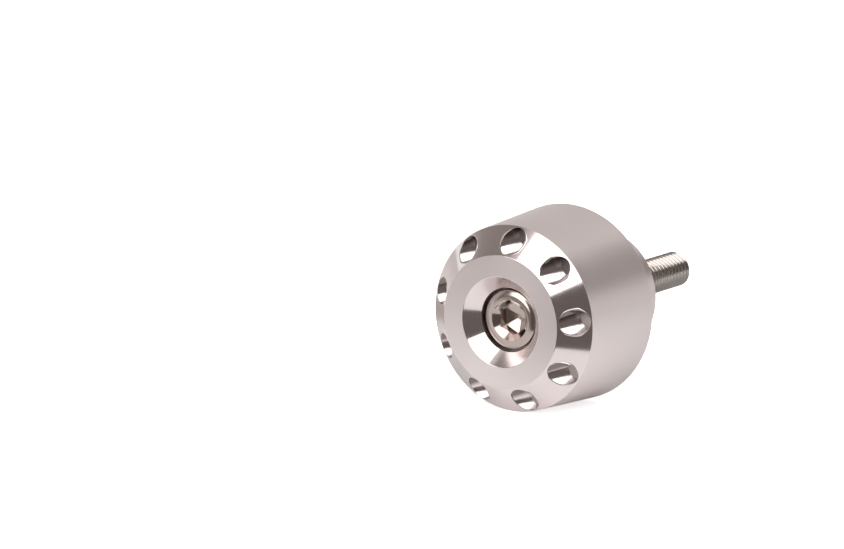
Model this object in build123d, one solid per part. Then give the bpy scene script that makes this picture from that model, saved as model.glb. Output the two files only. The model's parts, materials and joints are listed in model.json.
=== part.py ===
from build123d import *
import os

# Bar end weight: a turned aluminium weight for the end of a handlebar, with its cap screw.
# The turning axis lies along Y. The dished face looks along -Y and the screw points along +Y.
# The origin is the centre of the seat that butts against the end of the handlebar tube.
# All sizes are in millimetres.

# Weight: lengths along the axis
CHAMFER_LENGTH = 3.9
BODY_LENGTH = 17.0
BOSS_LENGTH = 10.3
REGISTER_LENGTH = 3.4

# Weight: diameters
REAR_DIAMETER = 33.4
BOSS_DIAMETER = 21.2
REGISTER_DIAMETER = 14.8

# Weight: widths across the radius, from the rear rim in to the face and from the bore out to it
SIDE_TAPER = 0.8
CHAMFER_WIDTH = 4.5
COUNTERSINK_WIDTH = 2.2
COUNTERSINK_DEPTH = 2.35

# Flat on the register, which keeps the weight from turning in the bar
REGISTER_FLAT_DEPTH = 2.1
REGISTER_FLAT_ANGLE = 270.0

# Ring of blind pockets milled into the chamfer, parallel to the axis
POCKET_COUNT = 9
POCKET_LAND = 0.2
POCKET_DEPTH = 6.9
POCKET_PHASE = 5.3

# Edges of the weight
EDGE_BREAK = 0.3
EDGE_ROUND = 0.15

# M6 cap screw with a hexagon socket and a rolled thread, so its shank is waisted to the pitch diameter
SCREW_LENGTH = 45.0
THREAD_LENGTH = 18.5
THREAD_DIAMETER = 6.0
THREAD_CHAMFER = 0.8
SHANK_RELIEF = 0.325
HEAD_DIAMETER = 10.0
HEAD_HEIGHT = 6.0
HEAD_CROWN_WIDTH = 0.65
HEAD_CROWN_DROP = 0.24
HEAD_CROWN_ROUND = 3.2
HEAD_ROUND = 0.15
SOCKET_ACROSS_FLATS = 5.0
SOCKET_DEPTH = 2.6
SOCKET_MOUTH_WIDTH = 1.1
SOCKET_POINT_LENGTH = 1.05
SOCKET_PHASE = 33.5

# Fits between the screw and the weight
HEAD_BELOW_FACE = 2.7
HEAD_CLEARANCE = 0.5
THREAD_CLEARANCE = 0.3

# Stations along Y
RIM_Y = -BOSS_LENGTH
FRONT_Y = RIM_Y - BODY_LENGTH
FACE_Y = FRONT_Y - CHAMFER_LENGTH
HEAD_TOP_Y = FACE_Y + HEAD_BELOW_FACE
HEAD_SEAT_Y = HEAD_TOP_Y + HEAD_HEIGHT
SCREW_TIP_Y = HEAD_SEAT_Y + SCREW_LENGTH
THREAD_START_Y = SCREW_TIP_Y - THREAD_LENGTH

# Radii
HEAD_RADIUS = HEAD_DIAMETER / 2
CROWN_RADIUS = HEAD_RADIUS - HEAD_CROWN_WIDTH
THREAD_RADIUS = THREAD_DIAMETER / 2
SHANK_RADIUS = THREAD_RADIUS - SHANK_RELIEF
SOCKET_RADIUS = SOCKET_ACROSS_FLATS / 2
REAR_RADIUS = REAR_DIAMETER / 2
FRONT_RADIUS = REAR_RADIUS - SIDE_TAPER
FACE_RADIUS = FRONT_RADIUS - CHAMFER_WIDTH
BOSS_RADIUS = BOSS_DIAMETER / 2
REGISTER_RADIUS = REGISTER_DIAMETER / 2
BORE_RADIUS = THREAD_RADIUS + THREAD_CLEARANCE
COUNTERBORE_RADIUS = HEAD_RADIUS + HEAD_CLEARANCE
COUNTERSINK_RADIUS = COUNTERBORE_RADIUS + COUNTERSINK_WIDTH
POCKET_PITCH_RADIUS = FACE_RADIUS + CHAMFER_WIDTH / 2
POCKET_RADIUS = CHAMFER_WIDTH / 2 - POCKET_LAND


def plane_facing_front(station):
    """Plane across the axis at a station, looking out of the face, with +X right and +Z up."""
    return Plane(origin=(0, station, 0), x_dir=(1, 0, 0), z_dir=(0, -1, 0))


def corner(profile, radius, station):
    """The corner of a turned profile that lies at a radius and a station."""
    return profile.vertices().sort_by_distance((radius, station, 0))[0]


def turned(profile):
    """Solid turned about the Y axis from a profile of (radius, station) points."""
    return revolve(profile, axis=Axis.Y)


def weight_profile():
    """Half section of the weight: register, boss, tapered side, chamfer, recess and bore."""
    outline = Polyline(
        (BORE_RADIUS, REGISTER_LENGTH),
        (REGISTER_RADIUS, REGISTER_LENGTH),
        (REGISTER_RADIUS, 0),
        (BOSS_RADIUS, 0),
        (BOSS_RADIUS, RIM_Y),
        (REAR_RADIUS, RIM_Y),
        (FRONT_RADIUS, FRONT_Y),
        (FACE_RADIUS, FACE_Y),
        (COUNTERSINK_RADIUS, FACE_Y),
        (COUNTERBORE_RADIUS, FACE_Y + COUNTERSINK_DEPTH),
        (COUNTERBORE_RADIUS, HEAD_SEAT_Y),
        (BORE_RADIUS, HEAD_SEAT_Y),
        close=True,
    )
    profile = make_face(outline)
    broken = [(REGISTER_RADIUS, REGISTER_LENGTH), (BOSS_RADIUS, 0), (REAR_RADIUS, RIM_Y)]
    for radius, station in broken:
        profile = chamfer(corner(profile, radius, station), EDGE_BREAK)
    rounded = [(FRONT_RADIUS, FRONT_Y), (FACE_RADIUS, FACE_Y), (COUNTERSINK_RADIUS, FACE_Y)]
    for radius, station in rounded:
        profile = fillet(corner(profile, radius, station), EDGE_ROUND)
    return profile


def pockets():
    """Flat-bottomed round pockets, centred on the chamfer and sunk from the face's plane."""
    cutter = Cylinder(POCKET_RADIUS, POCKET_DEPTH, align=(Align.CENTER, Align.CENTER, Align.MAX))
    spots = PolarLocations(POCKET_PITCH_RADIUS, POCKET_COUNT, start_angle=POCKET_PHASE)
    return [plane_facing_front(FACE_Y) * spot * cutter for spot in spots]


def register_flat():
    """Block that takes the register down to its flat, from the seat to the register's end."""
    block = Box(
        REGISTER_RADIUS,
        REGISTER_DIAMETER,
        REGISTER_LENGTH,
        align=(Align.MIN, Align.CENTER, Align.MAX),
    )
    turn = Rotation(0, 0, REGISTER_FLAT_ANGLE)
    return plane_facing_front(0) * turn * Pos(REGISTER_RADIUS - REGISTER_FLAT_DEPTH, 0, 0) * block


def end_weight():
    """The weight: one turned piece with its milled pockets and register flat."""
    return turned(weight_profile()) - pockets() - register_flat()


def screw_profile():
    """Half section of the screw without its socket; the head's top is slightly crowned."""
    outline = Polyline(
        (0, HEAD_TOP_Y),
        (CROWN_RADIUS, HEAD_TOP_Y),
        (HEAD_RADIUS, HEAD_TOP_Y + HEAD_CROWN_DROP),
        (HEAD_RADIUS, HEAD_SEAT_Y),
        (SHANK_RADIUS, HEAD_SEAT_Y),
        (SHANK_RADIUS, THREAD_START_Y),
        (THREAD_RADIUS, THREAD_START_Y),
        (THREAD_RADIUS, SCREW_TIP_Y),
        (0, SCREW_TIP_Y),
        close=True,
    )
    profile = make_face(outline)
    profile = fillet(corner(profile, HEAD_RADIUS, HEAD_TOP_Y + HEAD_CROWN_DROP), HEAD_ROUND)
    profile = fillet(corner(profile, CROWN_RADIUS, HEAD_TOP_Y), HEAD_CROWN_ROUND)
    return chamfer(corner(profile, THREAD_RADIUS, SCREW_TIP_Y), THREAD_CHAMFER)


def socket():
    """Hexagon socket with a coned mouth and a floor that runs to a six-sided point."""
    floor_y = HEAD_TOP_Y + SOCKET_DEPTH
    hexagon = RegularPolygon(SOCKET_RADIUS, 6, major_radius=False, rotation=SOCKET_PHASE)
    floor = plane_facing_front(floor_y) * hexagon
    prism = extrude(floor, SOCKET_DEPTH)
    point = loft([floor.face(), Vertex(0, floor_y + SOCKET_POINT_LENGTH, 0)])
    mouth = Polyline(
        (0, HEAD_TOP_Y),
        (SOCKET_RADIUS + SOCKET_MOUTH_WIDTH, HEAD_TOP_Y),
        (SOCKET_RADIUS, HEAD_TOP_Y + SOCKET_MOUTH_WIDTH),
        (0, HEAD_TOP_Y + SOCKET_MOUTH_WIDTH),
        close=True,
    )
    return [prism, turned(make_face(mouth)), point]


def cap_screw():
    """The cap screw, its head sunk in the weight and its thread standing out of the register."""
    return turned(screw_profile()) - socket()


os.makedirs("parts", exist_ok=True)
export_step(end_weight(), "parts/end_weight.step")
export_step(cap_screw(), "parts/cap_screw.step")
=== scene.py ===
"""Bar end weight: a turned aluminium handlebar weight with its cap screw, in a white studio."""

import json
from collections import namedtuple
from math import atan2, cos, radians, sin, tan

import bpy
import numpy as np
from bpy.props import FloatProperty, FloatVectorProperty, IntProperty, PointerProperty
from mathutils import Matrix, Vector


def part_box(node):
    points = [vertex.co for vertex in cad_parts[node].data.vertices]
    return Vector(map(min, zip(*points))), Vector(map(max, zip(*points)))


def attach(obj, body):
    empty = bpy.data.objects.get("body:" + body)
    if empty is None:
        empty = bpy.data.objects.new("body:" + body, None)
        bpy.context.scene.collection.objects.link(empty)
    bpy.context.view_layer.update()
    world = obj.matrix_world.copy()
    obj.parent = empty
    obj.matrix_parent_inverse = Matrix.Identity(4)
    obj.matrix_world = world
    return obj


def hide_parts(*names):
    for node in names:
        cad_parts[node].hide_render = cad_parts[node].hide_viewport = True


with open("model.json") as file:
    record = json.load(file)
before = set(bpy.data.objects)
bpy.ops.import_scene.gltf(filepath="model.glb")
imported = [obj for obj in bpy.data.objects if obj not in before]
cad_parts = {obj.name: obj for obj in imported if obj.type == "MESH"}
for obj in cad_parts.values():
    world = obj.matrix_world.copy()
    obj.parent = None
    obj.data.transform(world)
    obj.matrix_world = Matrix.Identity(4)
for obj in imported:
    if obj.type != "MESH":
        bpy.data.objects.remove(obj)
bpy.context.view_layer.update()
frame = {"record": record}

bl_info = {
    "name": "Bar end weight",
    "version": (1, 0, 0),
    "blender": (4, 5, 0),
    "location": "View3D > Sidebar > Bar end",
    "description": "Builds a turned handlebar end weight with its cap screw, in a white studio",
    "category": "Object",
}

# Places taken from the frame, in metres
MM = 0.001
MOUNTS = {mount["name"]: mount for mount in frame["record"]["mounts"]}
WEIGHT_LOW, WEIGHT_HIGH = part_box("end_weight")
SCREW_LOW, SCREW_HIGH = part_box("cap_screw")
FACE_Y = WEIGHT_LOW.y
REGISTER_END_Y = WEIGHT_HIGH.y
HEAD_TOP_Y = SCREW_LOW.y
SCREW_TIP_Y = SCREW_HIGH.y
HEAD_RADIUS = SCREW_HIGH.x
REGISTER_RADIUS = MOUNTS["bar_register"]["dims"]["r_mm"] * MM
THREAD_RADIUS = MOUNTS["bar_stud"]["dims"]["r_mm"] * MM

# Fineness of the surfaces
SECTOR_STEPS = 40
SECTOR_SIDE_STEPS = 12
LAND_ROWS = 9
WALL_ROWS = 7
FLOOR_ROWS = 5
SIDE_ROWS = 9
FACET_STEPS = 24
STEPS_PER_PITCH = 20
ROUND_STEPS = 8
CARD_COLUMNS = 25
CARD_ROWS = 17

# Points in one cell of the weld distance are one vertex; the offset keeps round numbers off its borders
WELD_DISTANCE = 1e-7
WELD_OFFSET = 0.31

# Least values that are divided by
LEAST_LENGTH = 1e-20
LEAST_COSINE = 1e-3

# Hexagon and metric thread: half the crest and the depth, in pitches, and half the angle between the flanks
SOCKET_SIDES = 6
THREAD_HALF_CREST = 1.0 / 16.0
THREAD_DEPTH = 0.6134
THREAD_HALF_ANGLE = radians(30.0)

# Map of distances along a surface, whose first direction is the tangent of the gloss
FINISH_MAP = "finish"
FINISH_TANGENT = {"direction_type": "UV_MAP", "uv_map": FINISH_MAP}

# Lathe rings: how many, how slowly a ring changes, noise of the rings, clouds over them, height of the marks
RINGS_PER_METRE = 9000.0
RING_DRIFT = 0.02
RING_ROUGHNESS = 0.6
CLOUDS_PER_METRE = 160.0
NOISE_DETAIL = 3.0
NOISE_MIDDLE = 0.5
MARK_HEIGHT = 0.02 * MM

# Painted shade in the pockets: height of a wall's normal from clear to dark, share of the shade colour there,
# and the height above the axis over which a pocket becomes an upper one
SHADE_FACING = (0.1, -0.3)
SHADE_SHARE = 0.9
SHADE_HEIGHT = (3 * MM, 7 * MM)

# Share of painted shade at the thread's roots
THREAD_ROOT_SHADE_SHARE = 0.5

# Light that met the metal twice has a glossy depth above this
ONE_REFLECTION = 1.5

# Plain white, the lamps' white, and the least level of a card in a second reflection: the pale room's
WHITE = (1.0, 1.0, 1.0)
LAMP_WHITE = (1.0, 0.985, 0.975)
ROOM_LEVEL = 0.95

# Studio cards, nearest first, with angles in degrees: azimuth range, lower edge at both ends, upper edge,
# brightness to the metal, brightness to the paper
Card = namedtuple("Card", "name azimuths lower upper brightness paper_light")
CARDS = (
    Card("softbox_front", (-25.0, 115.0), (9.0, 45.0), 74.0, 3.0, 3.3),
    Card("softbox_low", (-32.0, -12.0), (-3.5, -3.5), 18.0, 3.2, 3.2),
    Card("softbox_left", (-116.0, -91.0), (10.0, 10.0), 42.0, 1.2, 1.4),
    Card("flag_camera", (-14.0, 84.0), (-80.0, -80.0), 45.0, 0.16, 0.0),
    Card("flag_front_left", (-42.0, -14.0), (-40.0, -40.0), 26.0, 0.30, 0.0),
    Card("flag_left", (-90.0, -42.0), (18.0, 18.0), 64.0, 0.30, 0.0),
    Card("flag_low_left", (-150.0, -95.0), (-60.0, -60.0), -9.5, 0.5, 0.0),
    Card("flag_back_right", (130.0, 164.0), (13.0, 13.0), 43.0, 0.21, 0.0),
)
CARD_SPACING = 0.01

# Paper: reflectance and glow as the camera sees them and as gloss does, and the distances in front of the
# object between which the glow to gloss sets in
PAPER_WHITENESS = 0.88
PAPER_GLOW = 0.72
PAPER_GLOSS_WHITENESS = 0.72
PAPER_GLOSS_GLOW = 0.21
PAPER_GLOW_START = (5 * MM, 25 * MM)

# Surroundings: level to the camera, soft fill, levels and heights between which gloss sees paper turn into
# wall, and the wall behind in a second reflection
BACKDROP_LEVEL = 1.0
FILL_LEVEL = 0.35
WALL_HEIGHTS = (sin(radians(-12.0)), sin(radians(14.0)))
WALL_LEVELS = (1.0, 0.67)
WALL_BEHIND_LEVEL = 0.2

SENSOR_WIDTH = 36.0
CLIP_START = 0.01
CLIP_END = 50.0


def length_size(name, description, default):
    """A length that a user may set, in metres."""
    return FloatProperty(
        name=name, description=description, default=default, min=0.0, unit="LENGTH", precision=5)


def offset_size(name, description, default):
    """A length that may be negative, in metres."""
    return FloatProperty(name=name, description=description, default=default, unit="LENGTH", precision=5)


def angle_size(name, description, degrees):
    """An angle that a user may set."""
    return FloatProperty(name=name, description=description, default=radians(degrees), unit="ROTATION")


def colour_value(name, description, default):
    """A colour that a user may set."""
    return FloatVectorProperty(
        name=name, description=description, default=default, subtype="COLOR", min=0.0, max=1.0)


class WeightSizes(bpy.types.PropertyGroup):
    """Sizes of the turned weight."""

    rear_radius: length_size("Rear radius", "Radius of the rear rim", 16.7 * MM)
    side_taper: length_size("Side taper", "How much smaller the front edge's radius is", 0.8 * MM)
    chamfer_width: length_size("Chamfer width", "Width of the front chamfer across the radius", 4.5 * MM)
    chamfer_length: length_size("Chamfer length", "Length of the front chamfer along the axis", 3.9 * MM)
    boss_radius: length_size("Boss radius", "Radius of the boss behind the weight", 10.6 * MM)
    boss_length: length_size("Boss length", "From the rear face to the seat", 10.3 * MM)
    countersink_width: length_size("Countersink width", "Width of the dish across the radius", 2.2 * MM)
    countersink_depth: length_size("Countersink depth", "Depth of the dish", 2.35 * MM)
    flat_depth: length_size("Register flat depth", "Depth of the flat on the register", 2.1 * MM)
    flat_angle: angle_size("Register flat angle", "Where the flat faces, from +X toward +Z", 270.0)
    head_clearance: length_size("Head clearance", "Gap round the screw's head", 0.5 * MM)
    thread_clearance: length_size("Thread clearance", "Gap round the screw's thread", 0.3 * MM)
    pocket_count: IntProperty(name="Pockets", description="Pockets round the chamfer", default=9, min=3)
    pocket_depth: length_size("Pocket depth", "Depth of the pockets below the face", 6.9 * MM)
    pocket_land: length_size("Pocket land", "Metal left between a pocket and the chamfer's edges", 0.2 * MM)
    pocket_phase: angle_size("Pocket phase", "Where the first pocket lies, from +X toward +Z", 5.3)
    feed: length_size("Feed", "Distance between the feed marks on a pocket's wall", 0.1 * MM)
    feed_lean: angle_size("Feed lean", "How far the feed marks lean to the pocket's mouth, at the face", 48.0)
    feed_deep: angle_size("Feed lean deep", "The same lean at the pocket's floor", 70.0)
    feed_swing: angle_size("Feed swing", "How much that lean changes over one feed mark", 6.0)
    pocket_break: length_size("Pocket edge", "Width of the broken edge round a pocket", 0.015 * MM)
    edge_break: length_size("Edge break", "Chamfer or round on the rear edges", 0.3 * MM)
    edge_round: length_size("Edge round", "Round on the front edges", 0.15 * MM)


class ScrewSizes(bpy.types.PropertyGroup):
    """Sizes of the cap screw."""

    head_height: length_size("Head height", "Height of the head", 6.0 * MM)
    head_round: length_size("Head round", "Round on the head's front edge", 0.15 * MM)
    crown_width: length_size("Crown width", "Width of the slope round the head's top", 0.65 * MM)
    crown_drop: length_size("Crown drop", "How far the head's top falls to its edge", 0.24 * MM)
    crown_round: length_size("Crown round", "Round between the head's flat top and the slope", 3.2 * MM)
    socket_across: length_size("Socket across flats", "Width of the hexagon", 5.0 * MM)
    socket_depth: length_size("Socket depth", "Depth of the hexagon", 2.6 * MM)
    socket_mouth: length_size("Socket mouth", "Width of the cone at the hexagon's mouth", 1.1 * MM)
    socket_point: length_size("Socket point", "Length of the point at the bottom of the hexagon", 1.05 * MM)
    socket_phase: angle_size("Socket phase", "Where a corner of the hexagon lies, from +X toward +Z", 33.5)
    pitch: length_size("Thread pitch", "Pitch of the thread", 1.0 * MM)
    thread_length: length_size("Thread length", "Length of the full thread", 18.5 * MM)
    thread_runout: length_size("Thread runout", "Length over which the thread fades into the shank", 1.5 * MM)
    end_chamfer: length_size("End chamfer", "Chamfer at the screw's tip", 0.8 * MM)
    shank_relief: length_size("Shank relief", "How much smaller the shank's radius is", 0.325 * MM)


class FinishColours(bpy.types.PropertyGroup):
    """Colours of the metals and of the studio that they mirror."""

    aluminium: colour_value("Aluminium", "Reflected colour of the weight", (0.715, 0.65, 0.643))
    satin: colour_value("Satin", "Reflected colour of the weight's satin face", (0.59, 0.538, 0.532))
    steel: colour_value("Steel", "Reflected colour of the screw's head", (0.44, 0.372, 0.345))
    bright_steel: colour_value("Bright steel", "Reflected colour of the screw's thread", (0.42, 0.39, 0.365))
    # Colour of the painted shade mixed into the thread's roots and the pockets' walls
    shade_colour: colour_value("Painted shade", "Dark film in the thread and shade in the pockets", (0.16, 0.12, 0.11))
    paper: colour_value("Paper", "Colour of the paper and wall that the metal mirrors", (1.0, 0.955, 0.93))
    flag: colour_value("Flag", "Colour of the studio's dark flags", (1.0, 0.88, 0.82))


class StudioSizes(bpy.types.PropertyGroup):
    """Camera and studio."""

    azimuth: angle_size("Camera azimuth", "Where the camera stands, from -Y toward +X", 34.63)
    elevation: angle_size("Camera elevation", "How high the camera stands", 11.91)
    distance: length_size("Camera distance", "From the camera to the face's centre", 2003.0 * MM)
    face_right: offset_size("Face right", "How far right of the image's centre the face lies", 13.11 * MM)
    face_up: offset_size("Face up", "How far above the image's centre the face lies", -7.99 * MM)
    lens: FloatProperty(name="Lens", description="Focal length", default=511.85, unit="CAMERA")
    floor_size: length_size("Floor size", "Side of the white floor", 12.0)
    paper_edge: length_size("Paper edge", "How far the mirrored paper reaches toward the camera", 51.0 * MM)
    paper_left: length_size("Paper left", "How far that paper reaches to the left", 56.0 * MM)
    card_distance: length_size("Card distance", "From the object to the studio's cards", 1.5)


Patch = namedtuple("Patch", "points normals uv finish")


def around(radius, station, angle):
    """Points at a radius and station, turned about Y: (r cos t, y, r sin t)."""
    radius, station, angle = np.broadcast_arrays(radius, station, angle)
    return np.stack((radius * np.cos(angle), station, radius * np.sin(angle)), axis=-1)


def unit(vectors):
    """Vectors scaled to length one."""
    size = np.linalg.norm(vectors, axis=-1, keepdims=True)
    return vectors / np.maximum(size, LEAST_LENGTH)


def travelled(points, axis):
    """Distance along one direction of a grid, from its first row."""
    steps = np.linalg.norm(np.diff(points, axis=axis), axis=-1)
    start = np.zeros_like(np.take(steps, [0], axis=axis))
    return np.concatenate((start, np.cumsum(steps, axis=axis)), axis=axis)


def grid_quads(rows, columns):
    """Corner numbers of the quads of a grid."""
    number = np.arange(rows * columns).reshape(rows, columns)
    corners = (number[:-1, :-1], number[1:, :-1], number[1:, 1:], number[:-1, 1:])
    return np.stack(corners, axis=-1).reshape(-1, 4)


def grid_patch(points, finish, closed=True):
    """Patch of any grid. Its normal is the cross product of the two differences along the grid."""
    down = np.gradient(points, axis=0)
    if closed:
        ring = points[:, :-1]
        across = np.roll(ring, -1, axis=1) - np.roll(ring, 1, axis=1)
        across = np.concatenate((across, across[:, :1]), axis=1)
    else:
        across = np.gradient(points, axis=1)
    uv = np.stack((travelled(points, 0), travelled(points, 1)), axis=-1)
    return Patch(points, unit(np.cross(down, across)), uv, finish)


def revolved(profile, angles, finish):
    """Profile of (radius, station) points carried round Y: (r cos t, y, r sin t).

    Its normal is the profile's slope turned a quarter.
    """
    profile = np.asarray(profile, float)
    radius, station = profile.T
    slope = np.gradient(profile, axis=0)
    points = around(radius[:, None], station[:, None], angles[None, :])
    normals = unit(around(slope[:, 1, None], -slope[:, 0, None], angles[None, :]))
    along = travelled(profile, 0)[:, None]
    uv = np.stack(np.broadcast_arrays(along, radius.max() * angles[None, :]), axis=-1)
    return Patch(points, normals, uv, finish)


def rounded_corner(before, corner, after, radius):
    """Arc of a radius that touches both lines of a corner.

    A point of it is centre + radius (cos a, sin a), between the feet of the centre on the two lines.
    """
    before, corner, after = (np.asarray(point, float) for point in (before, corner, after))
    back, ahead = unit(before - corner), unit(after - corner)
    half = 0.5 * np.arccos(np.clip(back @ ahead, -1.0, 1.0))
    centre = corner + unit(back + ahead) * radius / np.sin(half)
    first = corner + back * radius / np.tan(half) - centre
    last = corner + ahead * radius / np.tan(half) - centre
    share = np.linspace(0.0, 1.0, ROUND_STEPS + 1)[:, None]
    return centre + radius * unit(first * (1.0 - share) + last * share)


def weld(patches):
    """One vertex list for all patches, in which points at the same place are one vertex."""
    points = np.concatenate([patch.points.reshape(-1, 3) for patch in patches])
    cells = np.floor(points / WELD_DISTANCE + WELD_OFFSET).astype(np.int64)
    _, first, merged = np.unique(cells, axis=0, return_index=True, return_inverse=True)
    return points[first], merged.reshape(-1)


def patch_quads(patch, offset):
    """Corner numbers of a patch's quads, turned so that they face along its normals."""
    quads = grid_quads(*patch.points.shape[:2])
    flat_points, flat_normals = patch.points.reshape(-1, 3), patch.normals.reshape(-1, 3)
    corners = flat_points[quads]
    facing = np.cross(corners[:, 2] - corners[:, 0], corners[:, 3] - corners[:, 1])
    if np.sum(facing * flat_normals[quads[:, 0]]) < 0.0:
        quads = quads[:, ::-1]
    return quads + offset


def new_object(name, data):
    """Object put into the scene at the origin."""
    made = bpy.data.objects.new(name, data)
    bpy.context.scene.collection.objects.link(made)
    return made


def make_piece(name, patches, materials, node):
    """Object made of patches: welded, with the patches' own normals, finish map and materials."""
    vertices, merged = weld(patches)
    normals = np.concatenate([patch.normals.reshape(-1, 3) for patch in patches])
    uv = np.concatenate([patch.uv.reshape(-1, 2) for patch in patches])
    offsets = np.cumsum([0] + [patch.points.shape[0] * patch.points.shape[1] for patch in patches])
    quads = np.concatenate([patch_quads(patch, offset) for patch, offset in zip(patches, offsets)])
    order = list(materials)
    finish = np.concatenate([
        np.full((patch.points.shape[0] - 1) * (patch.points.shape[1] - 1), order.index(patch.finish))
        for patch in patches
    ])
    joined = merged[quads]
    same = joined == np.roll(joined, -1, axis=1)
    triangle = same.any(axis=1)
    pinched = quads[triangle]
    pinched = np.where(same[triangle, 1, None], pinched[:, [0, 1, 3]],
                       np.where(same[triangle, 0, None], pinched[:, [1, 2, 3]], pinched[:, [0, 1, 2]]))
    whole = quads[~triangle]
    loops = np.concatenate((whole.ravel(), pinched.ravel()))

    mesh = bpy.data.meshes.new(name)
    mesh.from_pydata(vertices.tolist(), [], merged[whole].tolist() + merged[pinched].tolist())
    mesh.uv_layers.new(name=FINISH_MAP).data.foreach_set("uv", uv[loops].astype(np.float32).ravel())
    for material in materials.values():
        mesh.materials.append(material)
    by_face = np.concatenate((finish[~triangle], finish[triangle])).astype(np.int32)
    mesh.polygons.foreach_set("material_index", by_face)
    mesh.shade_smooth()
    mesh.normals_split_custom_set(normals[loops].tolist())
    mesh.update()

    piece = new_object(name, mesh)
    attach(piece, "root")
    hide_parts(node)
    return piece


def pocket_sector(sizes, middle, inner, outer, chamfer_height, steepness):
    """One sector of the chamfer with its pocket, as four grids.

    Seen along the axis the pocket is a circle and the sector a piece of a ring. A point of the land is
    rim + s (border - rim), with the rim and border points on one ray from the pocket's centre; its station
    follows from its radius by the cone. The broken edge, the wall and the floor continue from the rim.
    """
    half = np.pi / sizes.pocket_count
    arc = np.linspace(-half, half, SECTOR_STEPS + 1)
    side = np.linspace(outer, inner, SECTOR_SIDE_STEPS + 1)
    border_radius = np.concatenate((
        np.full(SECTOR_STEPS, outer), side[:-1], np.full(SECTOR_STEPS, inner), side[:0:-1], [outer]))
    border_angle = np.concatenate((
        arc[:-1], np.full(SECTOR_SIDE_STEPS, half), arc[:0:-1], np.full(SECTOR_SIDE_STEPS, -half), [-half]))
    border = np.stack((border_radius * np.cos(border_angle), border_radius * np.sin(border_angle)), axis=-1)

    front_radius = sizes.rear_radius - sizes.side_taper
    pitch_radius = front_radius - sizes.chamfer_width / 2
    pocket_radius = sizes.chamfer_width / 2 - sizes.pocket_land
    centre = np.array((pitch_radius, 0.0))
    ray = unit(border - centre)
    rim = centre + (pocket_radius + sizes.pocket_break) * ray

    def placed(flat, station):
        """Point of the plane across the axis, turned to the sector and put at a station."""
        return around(np.linalg.norm(flat, axis=-1), station, middle + np.arctan2(flat[..., 1], flat[..., 0]))

    share = np.linspace(0.0, 1.0, LAND_ROWS)[:, None, None]
    land = rim + share * (border - rim)
    land_radius = np.linalg.norm(land, axis=-1)
    land_angle = middle + np.arctan2(land[..., 1], land[..., 0])
    land_points = around(land_radius, chamfer_height(land_radius), land_angle)
    land_normals = around(np.full_like(land_radius, sin(steepness)), -cos(steepness), land_angle)
    land_uv = np.stack((land_radius / cos(steepness), land_angle * pitch_radius), axis=-1)

    rim_station = chamfer_height(np.linalg.norm(rim, axis=-1))
    wall_ring = centre + pocket_radius * ray
    wall_top = rim_station + sizes.pocket_break
    floor_station = FACE_Y + sizes.pocket_depth
    edge = np.stack((placed(rim, rim_station), placed(wall_ring, wall_top)))

    depth = np.linspace(0.0, 1.0, WALL_ROWS)[:, None]
    wall_rows = np.broadcast_to(wall_ring, (WALL_ROWS,) + wall_ring.shape)
    wall = placed(wall_rows, wall_top + depth * (floor_station - wall_top))
    ray_angle = middle + np.unwrap(np.arctan2(ray[:, 1], ray[:, 0]))
    wall_normals = np.broadcast_to(around(-1.0, 0.0, ray_angle), wall.shape)
    wall_uv = np.stack(np.broadcast_arrays(wall[..., 1] - FACE_Y, ray_angle * pocket_radius), axis=-1)

    spread = np.linspace(1.0, 0.0, FLOOR_ROWS)[:, None, None]
    floor = placed(centre + spread * pocket_radius * ray, floor_station)
    floor_normals = np.broadcast_to((0.0, -1.0, 0.0), floor.shape)
    floor_uv = np.stack(np.broadcast_arrays(travelled(floor, 0), ray_angle * pocket_radius), axis=-1)
    return [
        Patch(land_points, land_normals, land_uv, "bright"),
        grid_patch(edge, "bright"),
        Patch(wall, wall_normals, wall_uv, "pocket_wall"),
        Patch(floor, floor_normals, floor_uv, "pocket_floor"),
    ]


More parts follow.
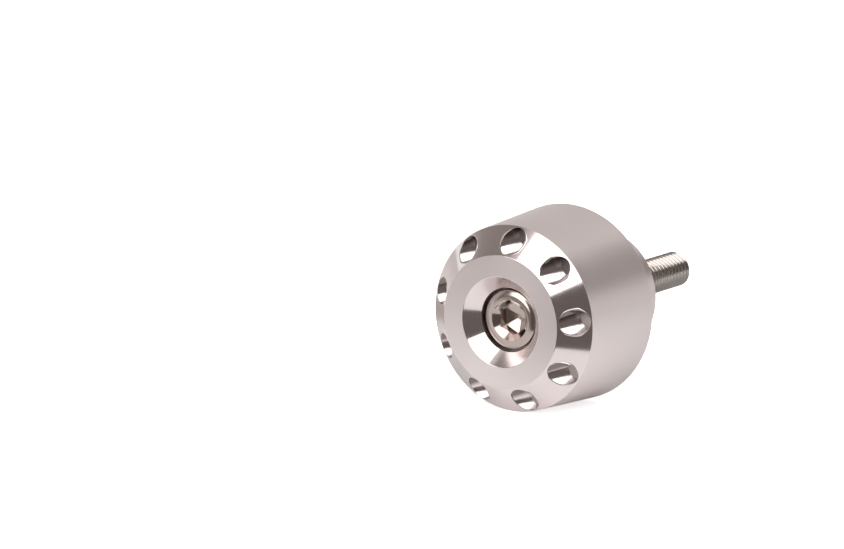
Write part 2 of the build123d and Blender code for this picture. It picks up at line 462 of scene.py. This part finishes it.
def weight_patches(sizes):
    """All surfaces of the weight: from the face over the side to the boss, the bore and the recess.

    The register and the sectors of the chamfer follow. With the flat, the register's radius at an angle a
    off the flat's middle is the lesser of its radius and offset / cos a.
    """
    rim_y = -sizes.boss_length
    front_y = FACE_Y + sizes.chamfer_length
    front = sizes.rear_radius - sizes.side_taper
    face = front - sizes.chamfer_width
    bore = THREAD_RADIUS + sizes.thread_clearance
    counterbore = HEAD_RADIUS + sizes.head_clearance
    countersink = counterbore + sizes.countersink_width
    head_seat_y = HEAD_TOP_Y + bpy.context.scene.screw_sizes.head_height
    steepness = atan2(sizes.chamfer_length, sizes.chamfer_width)
    count = SECTOR_STEPS * sizes.pocket_count
    start = sizes.pocket_phase - np.pi / sizes.pocket_count
    angles = start + np.linspace(0.0, 2 * np.pi, count + 1)

    dish_low, dish_top = (counterbore, FACE_Y + sizes.countersink_depth), (countersink, FACE_Y)
    face_edge, front_edge = (face, FACE_Y), (front, front_y)
    rim_edge = (sizes.rear_radius, rim_y)
    dish_round = rounded_corner(dish_low, dish_top, face_edge, sizes.edge_round)
    face_round = rounded_corner(dish_top, face_edge, front_edge, sizes.edge_round)
    front_round = rounded_corner(face_edge, front_edge, rim_edge, sizes.edge_round)
    rim_round = rounded_corner(front_edge, rim_edge, (sizes.boss_radius, rim_y), sizes.edge_break)
    boss_end = (sizes.boss_radius, -sizes.edge_break)
    seat_edge = (sizes.boss_radius - sizes.edge_break, 0.0)

    def chamfer_height(radius):
        """Station of the chamfer's cone at a radius."""
        return FACE_Y + (radius - face) * tan(steepness)

    patches = [
        revolved([dish_round[-1], face_round[0]], angles, "face"),
        revolved(face_round, angles, "bright"),
        revolved(front_round, angles, "bright"),
        revolved(np.linspace(front_round[-1], rim_round[0], SIDE_ROWS), angles, "side"),
        revolved(rim_round, angles, "side"),
        revolved([rim_round[-1], (sizes.boss_radius, rim_y)], angles, "rear"),
        revolved([(sizes.boss_radius, rim_y), boss_end], angles, "rear"),
        revolved([boss_end, seat_edge], angles, "rear"),
        revolved([(bore, REGISTER_END_Y), (bore, head_seat_y)], angles, "bore"),
        revolved([(bore, head_seat_y), (counterbore, head_seat_y)], angles, "bore"),
        revolved([(counterbore, head_seat_y), dish_low], angles, "bore"),
        revolved([dish_low, dish_round[0]], angles, "bright"),
        revolved(dish_round, angles, "bright"),
    ]

    flat_offset = REGISTER_RADIUS - sizes.flat_depth
    turn = np.cos(angles - sizes.flat_angle)
    flat = np.where(turn > LEAST_COSINE, flat_offset / np.maximum(turn, LEAST_COSINE), np.inf)
    register = np.minimum(REGISTER_RADIUS, flat)
    register_end = np.minimum(REGISTER_RADIUS - sizes.edge_break, flat)
    break_y = REGISTER_END_Y - sizes.edge_break
    rings = [
        around(seat_edge[0], 0.0, angles),
        around(register, 0.0, angles),
        around(register, break_y, angles),
        around(register_end, REGISTER_END_Y, angles),
        around(bore, REGISTER_END_Y, angles),
    ]
    patches += [grid_patch(np.stack(pair), "rear") for pair in zip(rings[:-1], rings[1:])]

    chamfer_inner, chamfer_outer = face_round[-1][0], front_round[0][0]
    for number in range(sizes.pocket_count):
        middle = sizes.pocket_phase + number * 2 * np.pi / sizes.pocket_count
        patches += pocket_sector(sizes, middle, chamfer_inner, chamfer_outer, chamfer_height, steepness)
    return patches


def thread_radius(angle, station, sizes):
    """Radius of the screw's threaded end at an angle and station.

    The distance from the nearest crest is t pitches, with t from the fraction of y / pitch + angle / turn.
    The crest is flat for an eighth of the pitch, the flanks drop at 60 degrees to each other, and the root
    is flat. The thread fades into the shank over the runout, and the end chamfer's cone cuts it at the tip.
    """
    depth = THREAD_DEPTH * sizes.pitch
    flank_slope = 1.0 / tan(THREAD_HALF_ANGLE)
    t = np.abs((station / sizes.pitch + angle / (2 * np.pi)) % 1.0 - 0.5)
    full = THREAD_RADIUS - np.clip((t - THREAD_HALF_CREST) * flank_slope * sizes.pitch, 0.0, depth)
    shank = THREAD_RADIUS - sizes.shank_relief
    start = SCREW_TIP_Y - sizes.thread_length
    fade = np.clip((station - start + sizes.thread_runout) / sizes.thread_runout, 0.0, 1.0)
    cone = THREAD_RADIUS - sizes.end_chamfer + (SCREW_TIP_Y - station)
    return np.minimum(shank + (full - shank) * fade, cone)


def socket_patches(sizes):
    """Hexagon socket: coned mouth, six flat walls and six flat facets that run to a point.

    A wall's distance from the axis at an angle a off its middle is apothem / cos a. The mouth's cone meets
    the wall where its radius, mouth - depth, is that distance.
    """
    apothem = sizes.socket_across / 2
    mouth = apothem + sizes.socket_mouth
    floor_y = HEAD_TOP_Y + sizes.socket_depth
    tip_y = floor_y + sizes.socket_point
    half = np.pi / SOCKET_SIDES
    finishes = ["head", "socket", "socket"]
    patches = []
    for facet in range(SOCKET_SIDES):
        middle = sizes.socket_phase + (2 * facet + 1) * half
        angles = middle + np.linspace(-half, half, FACET_STEPS + 1)
        wall = apothem / np.cos(angles - middle)
        meet = HEAD_TOP_Y + mouth - wall
        rows = [
            around(mouth, HEAD_TOP_Y, angles),
            around(wall, meet, angles),
            around(wall, floor_y, angles),
            around(0.0, tip_y, angles),
        ]
        for upper, lower, finish in zip(rows[:-1], rows[1:], finishes):
            patch = grid_patch(np.stack((lower, upper)), finish, closed=False)
            outward = np.sum(patch.normals * np.array((0.0, -1.0, 0.0)) - patch.points * (1.0, 0.0, 1.0))
            patches.append(patch if outward > 0 else patch._replace(normals=-patch.normals))
    return patches


def screw_patches(sizes):
    """All surfaces of the screw, from the socket's mouth over the head and down to the tip."""
    angles = sizes.socket_phase + np.linspace(0.0, 2 * np.pi, SOCKET_SIDES * FACET_STEPS + 1)
    mouth = sizes.socket_across / 2 + sizes.socket_mouth
    seat_y = HEAD_TOP_Y + sizes.head_height
    shank = THREAD_RADIUS - sizes.shank_relief
    thread_start = SCREW_TIP_Y - sizes.thread_length - sizes.thread_runout
    tip_radius = THREAD_RADIUS - sizes.end_chamfer
    crown_edge = (HEAD_RADIUS - sizes.crown_width, HEAD_TOP_Y)
    top_edge, seat_edge = (HEAD_RADIUS, HEAD_TOP_Y + sizes.crown_drop), (HEAD_RADIUS, seat_y)
    crown = rounded_corner((mouth, HEAD_TOP_Y), crown_edge, top_edge, sizes.crown_round)
    top_round = rounded_corner(crown_edge, top_edge, seat_edge, sizes.head_round)
    rows = int(round((SCREW_TIP_Y - thread_start) / sizes.pitch * STEPS_PER_PITCH))
    station = np.linspace(thread_start, SCREW_TIP_Y, rows + 1)[:, None]
    thread = around(thread_radius(angles[None, :], station, sizes), station, angles[None, :])
    return socket_patches(sizes) + [
        revolved([(mouth, HEAD_TOP_Y), crown[0]], angles, "head"),
        revolved(crown, angles, "head"),
        revolved([crown[-1], top_round[0]], angles, "head"),
        revolved(top_round, angles, "head"),
        revolved([top_round[-1], seat_edge], angles, "head"),
        revolved([seat_edge, (shank, seat_y)], angles, "head"),
        revolved([(shank, seat_y), (shank, thread_start)], angles, "thread"),
        grid_patch(thread, "thread"),
        revolved([(tip_radius, SCREW_TIP_Y), (0.0, SCREW_TIP_Y)], angles, "thread"),
    ]


def add_node(tree, kind, settings=None, **values):
    """Shader node with its settings and its inputs' values or links. An input is named, or numbered as _0."""
    made = tree.nodes.new(kind)
    for name, value in (settings or {}).items():
        setattr(made, name, value)
    for name, value in values.items():
        socket = made.inputs[int(name[1:])] if name[0] == "_" else made.inputs[name.replace("_", " ")]
        if isinstance(value, bpy.types.NodeSocket):
            tree.links.new(value, socket)
        else:
            socket.default_value = value
    return made


def computed(tree, operation, *terms):
    """Result of a Math node."""
    inputs = {f"_{number}": term for number, term in enumerate(terms)}
    return add_node(tree, "ShaderNodeMath", {"operation": operation}, **inputs).outputs["Value"]


def scaled(tree, vector, factor):
    """Vector times a number."""
    return add_node(
        tree, "ShaderNodeVectorMath", {"operation": "SCALE"}, _0=vector, Scale=factor).outputs["Vector"]


def ranged(tree, value, source, target, settings=None):
    """Value carried from one range to another and held at its ends."""
    return add_node(
        tree, "ShaderNodeMapRange", settings, Value=value, From_Min=source[0], From_Max=source[1],
        To_Min=target[0], To_Max=target[1]).outputs["Result"]


def mixed(tree, share, first, second):
    """Number between two numbers, by a share."""
    return add_node(tree, "ShaderNodeMix", Factor=share, _2=first, _3=second).outputs[0]


def mixed_colour(tree, share, first, second):
    """Colour between two colours, by a share."""
    made = add_node(tree, "ShaderNodeMix", {"data_type": "RGBA"}, Factor=share, _6=first, _7=second)
    return made.outputs[2]


def coordinate(tree, kind):
    """Texture coordinates of a kind."""
    return add_node(tree, "ShaderNodeTexCoord").outputs[kind]


def axis_distance(tree, place):
    """Distance of a place from the Y axis."""
    flat = add_node(tree, "ShaderNodeVectorMath", {"operation": "MULTIPLY"}, _0=place, _1=(1.0, 0.0, 1.0))
    return add_node(
        tree, "ShaderNodeVectorMath", {"operation": "LENGTH"}, _0=flat.outputs["Vector"]).outputs["Value"]


def opaque(colour):
    """Colour with full alpha."""
    return (*colour, 1.0)


def turning_marks():
    """Group: fine rings left by a lathe tool, from Object coordinates.

    Noise of (radius, station) is the same all round the axis, so it draws rings; a slow third coordinate
    keeps a ring from being quite even.
    """
    group = bpy.data.node_groups.get("turning_marks")
    if group:
        return group
    group = bpy.data.node_groups.new("turning_marks", "ShaderNodeTree")
    face = group.interface
    for name in ("Rings per metre", "Tone", "Roughness", "Spread"):
        face.new_socket(name, in_out="INPUT", socket_type="NodeSocketFloat")
    face.new_socket("Colour", in_out="INPUT", socket_type="NodeSocketColor")
    face.new_socket("Colour", in_out="OUTPUT", socket_type="NodeSocketColor")
    face.new_socket("Roughness", in_out="OUTPUT", socket_type="NodeSocketFloat")
    face.new_socket("Height", in_out="OUTPUT", socket_type="NodeSocketFloat")
    given = group.nodes.new("NodeGroupInput").outputs
    place = coordinate(group, "Object")
    parts = add_node(group, "ShaderNodeSeparateXYZ", Vector=place).outputs
    slow = computed(group, "MULTIPLY", parts["Z"], RING_DRIFT)
    spot = add_node(group, "ShaderNodeCombineXYZ", X=axis_distance(group, place), Y=parts["Y"], Z=slow)
    rings = add_node(
        group, "ShaderNodeTexNoise", Vector=spot.outputs["Vector"], Scale=given["Rings per metre"],
        Detail=NOISE_DETAIL, Roughness=RING_ROUGHNESS)
    cloud = add_node(group, "ShaderNodeTexNoise", Vector=place, Scale=CLOUDS_PER_METRE, Detail=NOISE_DETAIL)
    height = computed(group, "SUBTRACT", rings.outputs["Fac"], NOISE_MIDDLE)
    drift = computed(group, "SUBTRACT", cloud.outputs["Fac"], NOISE_MIDDLE)
    both = computed(group, "ADD", height, drift)
    tone = computed(group, "MULTIPLY_ADD", both, given["Tone"], 1.0)
    rough = computed(group, "MULTIPLY_ADD", both, given["Spread"], given["Roughness"])
    put = group.nodes.new("NodeGroupOutput").inputs
    group.links.new(scaled(group, given["Colour"], tone), put["Colour"])
    group.links.new(rough, put["Roughness"])
    group.links.new(height, put["Height"])
    return group


def new_material(name):
    """Material with nodes."""
    material = bpy.data.materials.new(name)
    material.use_nodes = True
    return material


def metal_inputs(material):
    """Inputs of a metal's shader."""
    return material.node_tree.nodes["Principled BSDF"].inputs


def turned_metal(name, colour, roughness, anisotropy, tone=0.05, spread=0.05, bump=0.05):
    """Metal with lathe rings; its gloss is drawn out across the rings by the finish map's tangent."""
    material = new_material(name)
    tree = material.node_tree
    inputs = metal_inputs(material)
    marks = add_node(
        tree, "ShaderNodeGroup", {"node_tree": turning_marks()}, Rings_per_metre=RINGS_PER_METRE, Tone=tone,
        Roughness=roughness, Spread=spread, Colour=opaque(colour)).outputs
    raised = add_node(tree, "ShaderNodeBump", Height=marks["Height"], Strength=bump, Distance=MARK_HEIGHT)
    grain = add_node(tree, "ShaderNodeTangent", FINISH_TANGENT)
    inputs["Metallic"].default_value = 1.0
    inputs["Anisotropic"].default_value = anisotropy
    tree.links.new(marks["Colour"], inputs["Base Color"])
    tree.links.new(marks["Roughness"], inputs["Roughness"])
    tree.links.new(raised.outputs["Normal"], inputs["Normal"])
    tree.links.new(grain.outputs["Tangent"], inputs["Tangent"])
    return material


def feed_marked(material, sizes):
    """Lean a wall's normals toward its mouth, as a cutter's fine feed marks do.

    The normal is N cos a - T sin a, with T down the wall. The angle a goes from the lean at the face to the
    lean at the floor, and swings by sin(2 pi depth / feed).
    """
    tree = material.node_tree
    facing = add_node(tree, "ShaderNodeNewGeometry").outputs["Normal"]
    down = add_node(tree, "ShaderNodeTangent", FINISH_TANGENT).outputs["Tangent"]
    place = add_node(tree, "ShaderNodeUVMap", {"uv_map": FINISH_MAP}).outputs["UV"]
    depth = add_node(tree, "ShaderNodeSeparateXYZ", Vector=place).outputs["X"]
    wave = computed(tree, "SINE", computed(tree, "MULTIPLY", depth, 2 * np.pi / sizes.feed))
    lean = ranged(tree, depth, (0.0, sizes.pocket_depth), (sizes.feed_lean, sizes.feed_deep))
    angle = computed(tree, "MULTIPLY_ADD", wave, sizes.feed_swing, lean)
    out = scaled(tree, facing, computed(tree, "COSINE", angle))
    deep = scaled(tree, down, computed(tree, "SINE", angle))
    leant = add_node(tree, "ShaderNodeVectorMath", {"operation": "SUBTRACT"}, _0=out, _1=deep)
    tree.links.new(leant.outputs["Vector"], metal_inputs(material)["Normal"])


def painted_shade_mix(material, shade_tone, share):
    """Mix painted shade into a metal's colour, by a share that changes over the surface."""
    tree = material.node_tree
    base = metal_inputs(material)["Base Color"]
    tree.links.new(mixed_colour(tree, share, base.links[0].from_socket, opaque(shade_tone)), base)


def shaded_pocket(material, shade_colour):
    """Paint shade on a pocket's wall where it faces down, by its normal's height.

    The walls of the upper pockets are also painted dark where they are seen in each other's reflections, by
    the height of Object coordinates.
    """
    tree = material.node_tree
    facing = add_node(tree, "ShaderNodeNewGeometry").outputs["Normal"]
    glossy = add_node(tree, "ShaderNodeLightPath").outputs["Is Glossy Ray"]
    rise = add_node(tree, "ShaderNodeSeparateXYZ", Vector=facing).outputs["Z"]
    height = add_node(tree, "ShaderNodeSeparateXYZ", Vector=coordinate(tree, "Object")).outputs["Z"]
    under = ranged(tree, rise, SHADE_FACING, (0.0, SHADE_SHARE))
    upper = ranged(tree, height, SHADE_HEIGHT, (0.0, glossy))
    painted_shade_mix(material, shade_colour, computed(tree, "MAXIMUM", under, upper))


def shaded_thread_roots(material, shade_colour, pitch):
    """Paint shade on the thread toward its roots, by the distance from the axis."""
    tree = material.node_tree
    radius = axis_distance(tree, coordinate(tree, "Object"))
    root_radius = THREAD_RADIUS - THREAD_DEPTH * pitch
    painted_shade_mix(material, shade_colour, ranged(tree, radius, (THREAD_RADIUS, root_radius), (0.0, THREAD_ROOT_SHADE_SHARE)))


class BUILD_OT_turned_weight(bpy.types.Operator):
    """Build the turned aluminium weight"""

    bl_idname = "bar_end.turned_weight"
    bl_label = "Turned weight"

    def execute(self, context):
        colours = context.scene.finish_colours
        colour = colours.aluminium
        plain = {"anisotropy": 0.0, "tone": 0.0, "bump": 0.0, "spread": 0.0}
        materials = {
            "face": turned_metal("face_satin", colours.satin, roughness=0.36, anisotropy=0.25),
            "side": turned_metal("side_satin", colour, roughness=0.34, anisotropy=0.5),
            "bright": turned_metal(
                "bright_turned", colour, roughness=0.16, anisotropy=0.8, bump=0.02, spread=0.03),
            "pocket_wall": turned_metal("pocket_wall", colour, roughness=0.12, **plain),
            "pocket_floor": turned_metal("pocket_floor", colour, roughness=0.35, **plain),
            "rear": turned_metal("rear_turned", colour, roughness=0.3, anisotropy=0.6),
            "bore": turned_metal("bore_drilled", colour, roughness=0.3, anisotropy=0.4),
        }
        sizes = context.scene.weight_sizes
        feed_marked(materials["pocket_wall"], sizes)
        shaded_pocket(materials["pocket_wall"], colours.shade_colour)
        make_piece("turned_weight", weight_patches(sizes), materials, "end_weight")
        return {"FINISHED"}


class BUILD_OT_socket_screw(bpy.types.Operator):
    """Build the cap screw with its hexagon socket and thread"""

    bl_idname = "bar_end.socket_screw"
    bl_label = "Cap screw"

    def execute(self, context):
        colours = context.scene.finish_colours
        materials = {
            "head": turned_metal(
                "head_steel", colours.steel, roughness=0.13, anisotropy=0.3, tone=0.15, bump=0.02),
            "socket": turned_metal(
                "socket_steel", colours.steel, roughness=0.14, anisotropy=0.0, tone=0.1, bump=0.02),
            "thread": turned_metal(
                "thread_steel", colours.bright_steel, roughness=0.16, anisotropy=0.0, tone=0.1, bump=0.0),
        }
        sizes = context.scene.screw_sizes
        shaded_thread_roots(materials["thread"], colours.shade_colour, sizes.pitch)
        make_piece("socket_screw", screw_patches(sizes), materials, "cap_screw")
        return {"FINISHED"}


def second_reflection(tree, rays):
    """One for light that met the metal twice, else zero."""
    return computed(tree, "GREATER_THAN", rays["Glossy Depth"], ONE_REFLECTION)


def seen_directly(tree, rays):
    """One for what the camera sees, also through clear matter, else zero."""
    return computed(tree, "MAXIMUM", rays["Is Camera Ray"], rays["Is Transmission Ray"])


def glowing(name, colour, brightness, paper_light):
    """Material that only shines, in one colour.

    Light that met the metal twice sees the pale room, not a flag.
    """
    material = new_material(name)
    tree = material.node_tree
    tree.nodes.clear()
    rays = add_node(tree, "ShaderNodeLightPath").outputs
    deep = second_reflection(tree, rays)
    level = mixed(tree, deep, brightness, max(brightness, ROOM_LEVEL))
    strength = mixed(tree, rays["Is Diffuse Ray"], level, paper_light)
    tint = mixed_colour(tree, deep, opaque(colour), opaque(LAMP_WHITE))
    shine = add_node(tree, "ShaderNodeEmission", Color=tint, Strength=strength)
    add_node(tree, "ShaderNodeOutputMaterial", Surface=shine.outputs["Emission"])
    return material


def stage_object(name, points, faces, material):
    """Object of the studio, made of points and faces with one material."""
    mesh = bpy.data.meshes.new(name)
    mesh.from_pydata(points.reshape(-1, 3).tolist(), [], faces)
    mesh.materials.append(material)
    return new_object(name, mesh)


def studio_card(shape, distance, shade):
    """Card bent round the object: (sin a cos e, -cos a cos e, sin e) times its distance.

    Only gloss sees a flag, which gives the paper no light.
    """
    a = np.radians(np.linspace(*shape.azimuths, CARD_COLUMNS))[None, :]
    share = np.linspace(0.0, 1.0, CARD_ROWS)[:, None]
    lower = np.linspace(*shape.lower, CARD_COLUMNS)[None, :]
    e = np.radians(lower * (1.0 - share) + shape.upper * share)
    grid = np.stack(np.broadcast_arrays(np.sin(a) * np.cos(e), -np.cos(a) * np.cos(e), np.sin(e)), axis=-1)
    inward = grid_quads(CARD_ROWS, CARD_COLUMNS)[:, ::-1].tolist()
    colour = LAMP_WHITE if shape.paper_light else shade
    material = glowing(shape.name, colour, shape.brightness, shape.paper_light)
    card = stage_object(shape.name, distance * grid, inward, material)
    card.visible_camera = False
    card.visible_shadow = False
    card.visible_diffuse = shape.paper_light > 0.0


def floor_white(tint, toward):
    """White paper: lit by the studio, and lifted so that only a soft shadow stays on it.

    Gloss sees it tinted, and lifted only in front of the object, by the distance w toward the camera.
    """
    material = new_material("floor_white")
    tree = material.node_tree
    tree.nodes.clear()
    rays = add_node(tree, "ShaderNodeLightPath").outputs
    glossy = rays["Is Glossy Ray"]
    glow = computed(tree, "MULTIPLY", seen_directly(tree, rays), PAPER_GLOW)
    w = add_node(
        tree, "ShaderNodeVectorMath", {"operation": "DOT_PRODUCT"}, _0=coordinate(tree, "Object"),
        _1=(*toward, 0.0)).outputs["Value"]
    lift = ranged(tree, w, PAPER_GLOW_START, (0.0, PAPER_GLOSS_GLOW))
    colour = mixed_colour(tree, glossy, opaque(WHITE), opaque(tint))
    shine = add_node(tree, "ShaderNodeEmission", Color=colour, Strength=mixed(tree, glossy, glow, lift))
    whiteness = mixed(tree, glossy, PAPER_WHITENESS, PAPER_GLOSS_WHITENESS)
    paper = add_node(tree, "ShaderNodeBsdfDiffuse", Color=whiteness)
    both = add_node(tree, "ShaderNodeAddShader", _0=shine.outputs["Emission"], _1=paper.outputs["BSDF"])
    add_node(tree, "ShaderNodeOutputMaterial", Surface=both.outputs["Shader"])
    return material


def white_floor(sizes, studio, tint):
    """White floor touching the tapered side along its lowest line, in four parts.

    A point lies at w toward the camera and v across. The parts in front of the paper's edge and to the left
    behind are hidden from gloss, so the metal sees the paper end there.
    """
    rim_y, rim_z = -sizes.boss_length, -sizes.rear_radius
    front_y = FACE_Y + sizes.chamfer_length
    slope = sizes.side_taper / (front_y - rim_y)
    half = 0.5 * studio.floor_size
    toward = np.array((sin(studio.azimuth), -cos(studio.azimuth)))
    across = np.array((cos(studio.azimuth), sin(studio.azimuth)))
    material = floor_white(tint, toward)
    edge, left = studio.paper_edge, -studio.paper_left
    parts = (
        ("paper", (-half, edge), (left, half), True),
        ("paper_left", (0.0, edge), (-half, left), True),
        ("paper_aside", (-half, 0.0), (-half, left), False),
        ("apron", (edge, half), (-half, half), False),
    )
    for name, near, aside, glossy in parts:
        w, v = np.meshgrid(near, aside)
        flat = w[..., None] * toward + v[..., None] * across
        points = np.concatenate((flat, rim_z + (flat[..., 1:] - rim_y) * slope), axis=-1)
        floor = stage_object(name, points, [(0, 1, 3, 2)], material)
        floor.visible_glossy = glossy


def studio_world(tint):
    """Pale surroundings: white to the camera, paper that turns into a pale wall to gloss, soft fill else."""
    world = bpy.data.worlds.new("studio")
    bpy.context.scene.world = world
    world.use_nodes = True
    tree = world.node_tree
    tree.nodes.clear()
    rays = add_node(tree, "ShaderNodeLightPath").outputs
    glossy = rays["Is Glossy Ray"]
    way = add_node(tree, "ShaderNodeSeparateXYZ", Vector=coordinate(tree, "Generated")).outputs
    height = ranged(tree, way["Z"], WALL_HEIGHTS, WALL_LEVELS, {"interpolation_type": "SMOOTHSTEP"})
    behind = computed(tree, "GREATER_THAN", way["Y"], 0.0)
    shaded = computed(tree, "MULTIPLY", second_reflection(tree, rays), behind)
    wall = mixed(tree, shaded, height, WALL_BEHIND_LEVEL)
    around_metal = mixed(tree, glossy, FILL_LEVEL, wall)
    level = mixed(tree, seen_directly(tree, rays), around_metal, BACKDROP_LEVEL)
    colour = mixed_colour(tree, glossy, opaque(WHITE), opaque(tint))
    sky = add_node(tree, "ShaderNodeBackground", Color=colour, Strength=level)
    add_node(tree, "ShaderNodeOutputWorld", Surface=sky.outputs["Background"])


def photo_camera(studio):
    """Camera at its azimuth and elevation, aimed beside the face's centre."""
    a, e = studio.azimuth, studio.elevation
    right = Vector((cos(a), sin(a), 0.0))
    ahead = Vector((-sin(a) * cos(e), cos(a) * cos(e), -sin(e)))
    up = right.cross(ahead)
    aim = Vector((0.0, FACE_Y, 0.0)) - right * studio.face_right - up * studio.face_up
    data = bpy.data.cameras.new("camera")
    data.sensor_fit = "HORIZONTAL"
    data.sensor_width = SENSOR_WIDTH
    data.lens = studio.lens
    data.clip_start = CLIP_START
    data.clip_end = CLIP_END
    camera = new_object("camera", data)
    turn = Matrix((right, up, -ahead)).transposed().to_4x4()
    camera.matrix_world = Matrix.Translation(aim - ahead * studio.distance) @ turn
    bpy.context.scene.camera = camera


class BUILD_OT_studio(bpy.types.Operator):
    """Build the white floor, the studio's cards, the surroundings and the camera"""

    bl_idname = "bar_end.studio"
    bl_label = "Studio"

    def execute(self, context):
        scene = context.scene
        scene.view_settings.view_transform = "Standard"
        colours = scene.finish_colours
        studio = scene.studio_sizes
        white_floor(scene.weight_sizes, studio, colours.paper)
        for number, shape in enumerate(CARDS):
            studio_card(shape, studio.card_distance * (1.0 + CARD_SPACING * number), colours.flag)
        studio_world(colours.paper)
        photo_camera(studio)
        return {"FINISHED"}


class BUILD_PT_bar_end(bpy.types.Panel):
    """Sizes, colours and operators of the bar end weight"""

    bl_label = "Bar end weight"
    bl_idname = "BUILD_PT_bar_end"
    bl_space_type = "VIEW_3D"
    bl_region_type = "UI"
    bl_category = "Bar end"

    def draw(self, context):
        for group in SETTINGS:
            values = getattr(context.scene, group)
            for name in values.__annotations__:
                self.layout.prop(values, name)
        for operator in OPERATORS:
            self.layout.operator(operator.bl_idname)


SETTINGS = {
    "weight_sizes": WeightSizes,
    "screw_sizes": ScrewSizes,
    "finish_colours": FinishColours,
    "studio_sizes": StudioSizes,
}
OPERATORS = (BUILD_OT_turned_weight, BUILD_OT_socket_screw, BUILD_OT_studio)


def register():
    """Register the settings, the operators and the panel."""
    for name, group in SETTINGS.items():
        bpy.utils.register_class(group)
        setattr(bpy.types.Scene, name, PointerProperty(type=group))
    for kind in (*OPERATORS, BUILD_PT_bar_end):
        bpy.utils.register_class(kind)


def unregister():
    """Take back what register added."""
    for kind in (BUILD_PT_bar_end, *reversed(OPERATORS)):
        bpy.utils.unregister_class(kind)
    for name, group in reversed(SETTINGS.items()):
        delattr(bpy.types.Scene, name)
        bpy.utils.unregister_class(group)


def main():
    """Build everything."""
    register()
    bpy.ops.bar_end.turned_weight()
    bpy.ops.bar_end.socket_screw()
    bpy.ops.bar_end.studio()


if __name__ == "__main__":
    main()
